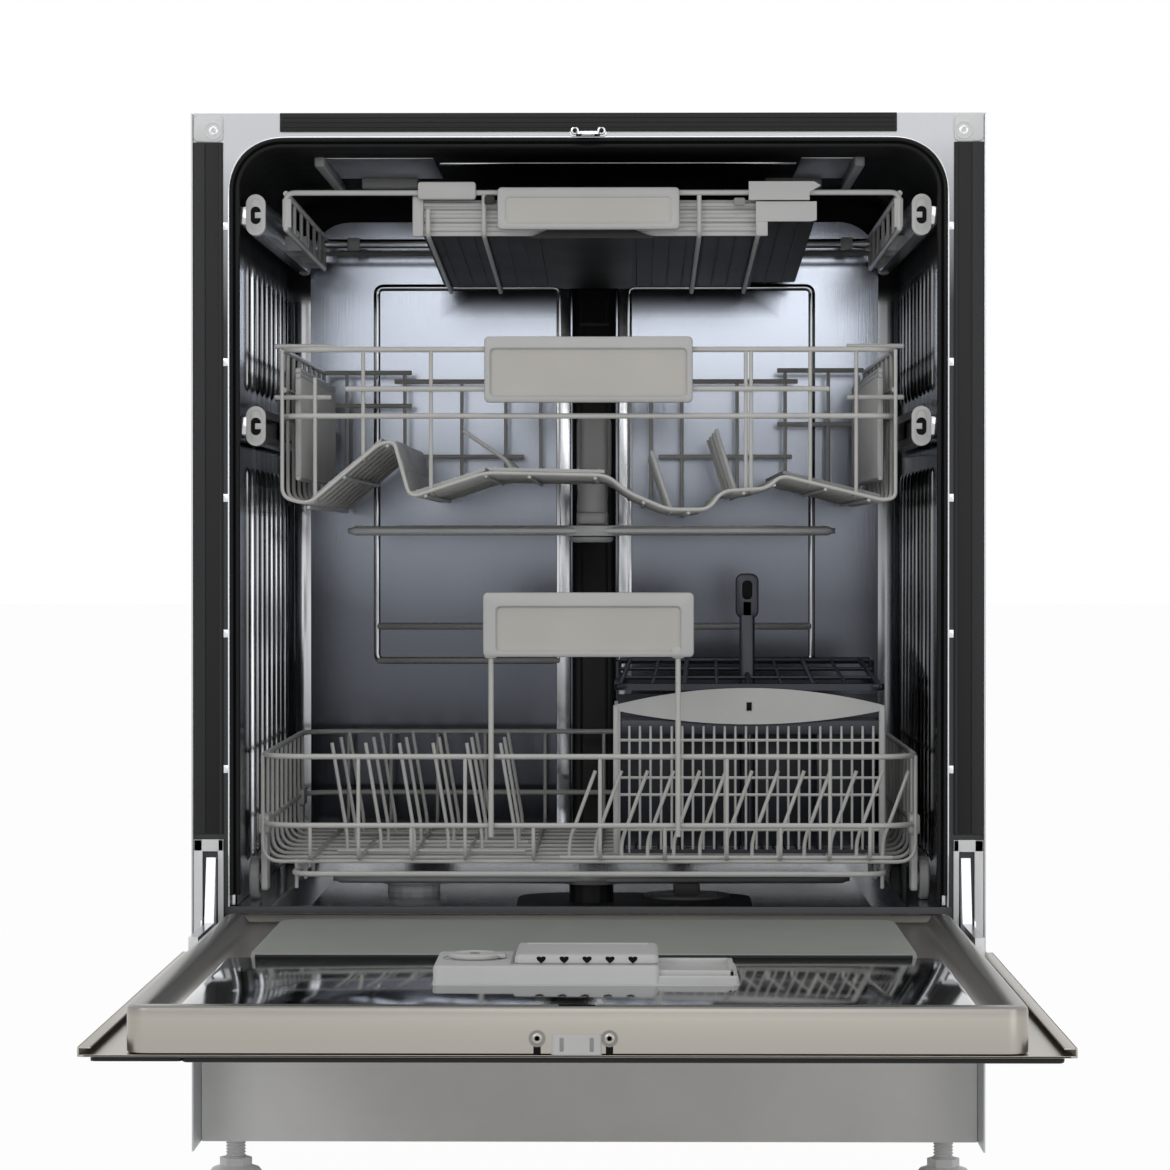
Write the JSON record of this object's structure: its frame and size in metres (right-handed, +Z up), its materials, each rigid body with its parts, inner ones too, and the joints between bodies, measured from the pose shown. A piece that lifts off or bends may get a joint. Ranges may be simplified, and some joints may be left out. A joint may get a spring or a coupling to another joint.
{
  "type": "dishwasher",
  "caption": "Built-under dishwasher with a fold-down door, sliding upper and lower wire racks, a cutlery tray, spray arms and a steel tub.",
  "frame": {"origin": "on the floor, under the centre of the box round the object with its door open", "axes": "+Z up, +X to the right seen from the front, +Y towards the back; the door opens towards -Y"},
  "size_m": [0.598, 1.141, 0.815],
  "materials": {
    "tub_steel": "stainless steel sheet, bright",
    "sheet_steel": "galvanised steel sheet, dull",
    "door_steel": "stainless steel sheet, satin",
    "bright_steel": "bright zinc-plated steel",
    "wire_coat": "wire with a smooth light grey coat",
    "light_plastic": "light grey plastic",
    "white_plastic": "white plastic",
    "mid_plastic": "mid grey plastic",
    "dark_plastic": "dark grey plastic",
    "blue_plastic": "dark blue-grey plastic",
    "seal_rubber": "black rubber"
  },
  "bodies": {
    "cabinet": {"base_tray": "white_plastic", "rear_cover": "sheet_steel", "front_frame": "tub_steel", "top_strip": "dark_plastic", "door_seal": "seal_rubber", "latch_striker": "bright_steel", "tub_shell": "tub_steel", "tub_floor": "tub_steel", "water_feed_column": "dark_plastic", "sump_housing": "dark_plastic", "circulation_pump": "dark_plastic", "softener_tank": "white_plastic", "side_panel_left": "sheet_steel", "side_panel_right": "sheet_steel", "side_strip_left": "dark_plastic", "side_strip_right": "dark_plastic", "corner_cap_left": "white_plastic", "corner_cap_right": "white_plastic", "hinge_cover_left": "white_plastic", "hinge_cover_right": "white_plastic", "hinge_spring_left": "bright_steel", "hinge_spring_right": "bright_steel"},
    "door": {"door_skin": "door_steel", "door_liner": "door_steel", "dispenser_body": "light_plastic", "latch_housing": "light_plastic", "control_fascia": "dark_plastic", "hinge_lever_left": "bright_steel", "hinge_lever_right": "bright_steel"},
    "detergent_lid": {"detergent_lid": "light_plastic"},
    "rinse_aid_cap": {"rinse_aid_cap": "light_plastic"},
    "latch_hook": {"latch_hook": "bright_steel"},
    "power_button": {"power_button": "mid_plastic"},
    "upper_rack": {"upper_basket": "wire_coat", "upper_handle": "light_plastic", "spray_feed_tube": "mid_plastic"},
    "upper_rails": {"upper_rail_left": "light_plastic", "upper_rail_right": "light_plastic"},
    "upper_arm": {"upper_spray_arm": "mid_plastic"},
    "cup_shelf_left": {"cup_shelf_left": "mid_plastic"},
    "cup_shelf_right": {"cup_shelf_right": "mid_plastic"},
    "cutlery_tray": {"tray_frame": "wire_coat", "tray_insert": "dark_plastic", "tray_handle": "light_plastic"},
    "tray_rails": {"tray_rail_left": "light_plastic", "tray_rail_right": "light_plastic"},
    "lower_rack": {"lower_basket": "wire_coat", "lower_handle": "light_plastic", "cutlery_basket": "blue_plastic"},
    "lower_arm": {"lower_spray_arm": "mid_plastic"},
    "filter": {"filter_cup": "light_plastic"},
    "salt_cap": {"salt_cap": "light_plastic"},
    "foot_front_left": {"foot_front_left": "white_plastic"},
    "foot_front_right": {"foot_front_right": "white_plastic"},
    "foot_rear_left": {"foot_rear_left": "white_plastic"},
    "foot_rear_right": {"foot_rear_right": "white_plastic"},
    "basket_wheel_front_left": {"basket_wheel_front_left": "light_plastic"},
    "basket_wheel_rear_left": {"basket_wheel_rear_left": "light_plastic"},
    "basket_wheel_front_right": {"basket_wheel_front_right": "light_plastic"},
    "basket_wheel_rear_right": {"basket_wheel_rear_right": "light_plastic"}
  },
  "joints": [
    {"name": "door_hinge", "type": "hinge", "parent": "cabinet", "child": "door", "pos_m": [0, 0.0355, 0.2], "axis": [-1, 0, 0], "range_deg": [0, 90], "deforming": ["hinge_spring_left", "hinge_spring_right"]},
    {"name": "detergent_lid_slide", "type": "slide", "parent": "door", "child": "detergent_lid", "axis": [1, 0, 0], "range_m": [0, 0.045]},
    {"name": "rinse_aid_cap_hinge", "type": "hinge", "parent": "door", "child": "rinse_aid_cap", "pos_m": [-0.086, -0.366, 0.2223], "axis": [0, 1, 0], "range_deg": [-90, 0]},
    {"name": "latch_hook_hinge", "type": "hinge", "parent": "door", "child": "latch_hook", "pos_m": [0, -0.5495, 0.1915], "axis": [1, 0, 0], "range_deg": [0, 10]},
    {"name": "power_button_press", "type": "slide", "parent": "door", "child": "power_button", "axis": [0, 0, 1], "range_m": [0, 0.0015], "stiffness_N_per_m": 400, "springref_m": -0.001},
    {"name": "upper_rack_slide", "type": "slide", "parent": "cabinet", "child": "upper_rack", "axis": [0, 1, 0], "range_m": [-0.42, 0]},
    {"name": "upper_rails_slide", "type": "slide", "parent": "cabinet", "child": "upper_rails", "axis": [0, 1, 0], "range_m": [-0.21, 0]},
    {"name": "upper_arm_spin", "type": "hinge", "parent": "upper_rack", "child": "upper_arm", "pos_m": [0, 0.2955, 0.5], "axis": [0, 0, 1], "continuous": true},
    {"name": "cup_shelf_left_fold", "type": "hinge", "parent": "upper_rack", "child": "cup_shelf_left", "pos_m": [-0.224, 0.2905, 0.624], "axis": [0, -1, 0], "range_deg": [0, 90]},
    {"name": "cup_shelf_right_fold", "type": "hinge", "parent": "upper_rack", "child": "cup_shelf_right", "pos_m": [0.224, 0.2905, 0.624], "axis": [0, 1, 0], "range_deg": [0, 90]},
    {"name": "cutlery_tray_slide", "type": "slide", "parent": "cabinet", "child": "cutlery_tray", "axis": [0, 1, 0], "range_m": [-0.42, 0]},
    {"name": "tray_rails_slide", "type": "slide", "parent": "cabinet", "child": "tray_rails", "axis": [0, 1, 0], "range_m": [-0.21, 0]},
    {"name": "lower_rack_slide", "type": "slide", "parent": "cabinet", "child": "lower_rack", "axis": [0, 1, 0], "range_m": [-0.42, 0]},
    {"name": "lower_arm_spin", "type": "hinge", "parent": "cabinet", "child": "lower_arm", "pos_m": [0, 0.2955, 0.22], "axis": [0, 0, 1], "continuous": true},
    {"name": "filter_turn", "type": "hinge", "parent": "cabinet", "child": "filter", "pos_m": [0.078, 0.3405, 0.2], "axis": [0, 0, 1], "range_deg": [0, 90]},
    {"name": "salt_cap_turn", "type": "hinge", "parent": "cabinet", "child": "salt_cap", "pos_m": [-0.15, 0.3955, 0.206], "axis": [0, 0, 1], "range_deg": [0, 90]},
    {"name": "foot_front_left_screw", "type": "slide", "parent": "cabinet", "child": "foot_front_left", "axis": [0, 0, -1], "range_m": [0, 0.05]},
    {"name": "foot_front_right_screw", "type": "slide", "parent": "cabinet", "child": "foot_front_right", "axis": [0, 0, -1], "range_m": [0, 0.05]},
    {"name": "foot_rear_left_screw", "type": "slide", "parent": "cabinet", "child": "foot_rear_left", "axis": [0, 0, -1], "range_m": [0, 0.05]},
    {"name": "foot_rear_right_screw", "type": "slide", "parent": "cabinet", "child": "foot_rear_right", "axis": [0, 0, -1], "range_m": [0, 0.05]},
    {"name": "basket_wheel_front_left_roll", "type": "hinge", "parent": "lower_rack", "child": "basket_wheel_front_left", "pos_m": [-0.25775, 0.1255, 0.233], "axis": [1, 0, 0], "range_deg": [0, 1505]},
    {"name": "basket_wheel_rear_left_roll", "type": "hinge", "parent": "lower_rack", "child": "basket_wheel_rear_left", "pos_m": [-0.25775, 0.4555, 0.233], "axis": [1, 0, 0], "range_deg": [0, 1505]},
    {"name": "basket_wheel_front_right_roll", "type": "hinge", "parent": "lower_rack", "child": "basket_wheel_front_right", "pos_m": [0.25775, 0.1255, 0.233], "axis": [1, 0, 0], "range_deg": [0, 1505]},
    {"name": "basket_wheel_rear_right_roll", "type": "hinge", "parent": "lower_rack", "child": "basket_wheel_rear_right", "pos_m": [0.25775, 0.4555, 0.233], "axis": [1, 0, 0], "range_deg": [0, 1505]}
  ],
  "couplings": [
    {"joint": "upper_rails_slide", "follows": "upper_rack_slide", "ratio": 0.5},
    {"joint": "tray_rails_slide", "follows": "cutlery_tray_slide", "ratio": 0.5},
    {"joint": "basket_wheel_front_left_roll", "follows": "lower_rack_slide", "rad_per_m": -62.5},
    {"joint": "basket_wheel_rear_left_roll", "follows": "lower_rack_slide", "rad_per_m": -62.5},
    {"joint": "basket_wheel_front_right_roll", "follows": "lower_rack_slide", "rad_per_m": -62.5},
    {"joint": "basket_wheel_rear_right_roll", "follows": "lower_rack_slide", "rad_per_m": -62.5}
  ]
}
